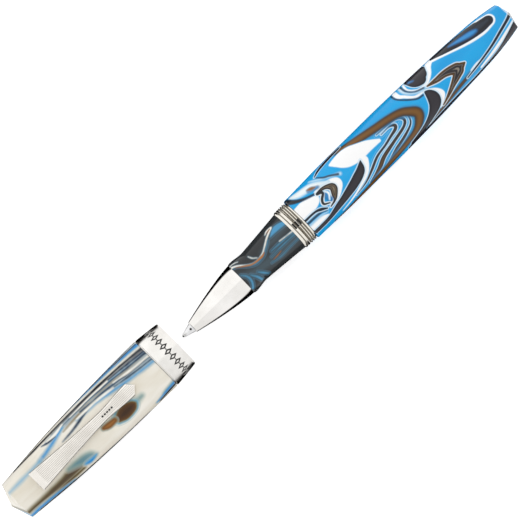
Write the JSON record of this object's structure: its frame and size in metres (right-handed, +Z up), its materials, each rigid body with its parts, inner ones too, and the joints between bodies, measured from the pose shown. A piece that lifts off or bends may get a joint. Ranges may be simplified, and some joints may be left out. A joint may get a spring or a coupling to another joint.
{
  "type": "rollerball pen with screw cap",
  "caption": "Swirled resin rollerball pen lying in line with its pulled-off cap, which has a spring clip, a metal lip band and a faceted crown.",
  "frame": {"origin": "on the pen's axis, at the middle of the barrel's straight waist", "axes": "+X along the axis towards the tail, so the cap's crown is at -X; +Z up, towards the clip"},
  "size_m": [0.193, 0.0168, 0.0184],
  "materials": {
    "cap_resin": "polished cream resin with blue-grey and brown swirls",
    "barrel_resin": "polished resin swirled in sky blue, white, slate and brown",
    "section_resin": "polished charcoal resin with blue and white wisps",
    "polished_metal": "mirror polished",
    "satin_metal": "bright, with fine lengthwise engraved lines",
    "inner_metal": "turned",
    "retainer_brass": "turned",
    "liner_plastic": "moulded black",
    "refill_metal": "drawn and turned",
    "plug_plastic": "moulded dark blue",
    "ball_carbide": "ground",
    "ink_fibre": "fibre soaked in blue ink",
    "spring_steel": "drawn wire"
  },
  "bodies": {
    "barrel": {"barrel_shell": "barrel_resin", "barrel_bush": "inner_metal", "refill_spring": "spring_steel"},
    "inner_cap": {"inner_cap": "liner_plastic"},
    "cap": {"cap_shell": "cap_resin", "cap_band": "polished_metal", "cap_bush": "inner_metal", "clip_retainer": "retainer_brass", "cap_screw": "inner_metal"},
    "clip": {"clip": "satin_metal"},
    "nose": {"nose_cone": "polished_metal"},
    "section": {"section_grip": "section_resin", "section_sleeve": "inner_metal", "thread_collar": "polished_metal"},
    "refill": {"refill_tube": "refill_metal", "refill_end_plug": "plug_plastic", "refill_housing": "liner_plastic", "refill_tip": "refill_metal", "ink_reservoir": "ink_fibre", "ink_wick": "ink_fibre"},
    "ball": {"writing_ball": "ball_carbide"}
  },
  "joints": [
    {"name": "cap_slide", "type": "slide", "parent": "barrel", "child": "inner_cap", "axis": [1, 0, 0], "range_m": [0, 0.0481]},
    {"name": "cap_turn", "type": "hinge", "parent": "inner_cap", "child": "cap", "pos_m": [-0.1, 0, 0], "axis": [1, 0, 0], "continuous": true},
    {"name": "clip_flex", "type": "hinge", "parent": "cap", "child": "clip", "pos_m": [-0.1234, 0, 0.0062], "axis": [0, -1, 0], "range_deg": [0, 4], "stiffness_Nm_per_rad": 1.2, "springref_deg": -1.15},
    {"name": "section_advance", "type": "slide", "parent": "barrel", "child": "nose", "axis": [-1, 0, 0], "range_m": [0, 0.00525]},
    {"name": "section_turn", "type": "hinge", "parent": "nose", "child": "section", "pos_m": [-0.035, 0, 0], "axis": [-1, 0, 0], "range_deg": [0, 2520]},
    {"name": "refill_press", "type": "slide", "parent": "nose", "child": "refill", "axis": [1, 0, 0], "range_m": [0, 0.0012], "stiffness_N_per_m": 400, "springref_m": -0.004, "deforming": ["refill_spring"]},
    {"name": "ball_roll", "type": "hinge", "parent": "refill", "child": "ball", "pos_m": [-0.06765, 0, 0], "axis": [0, 1, 0], "continuous": true}
  ],
  "couplings": [
    {"joint": "section_advance", "follows": "section_turn", "m_per_rad": 0.00011936}
  ]
}
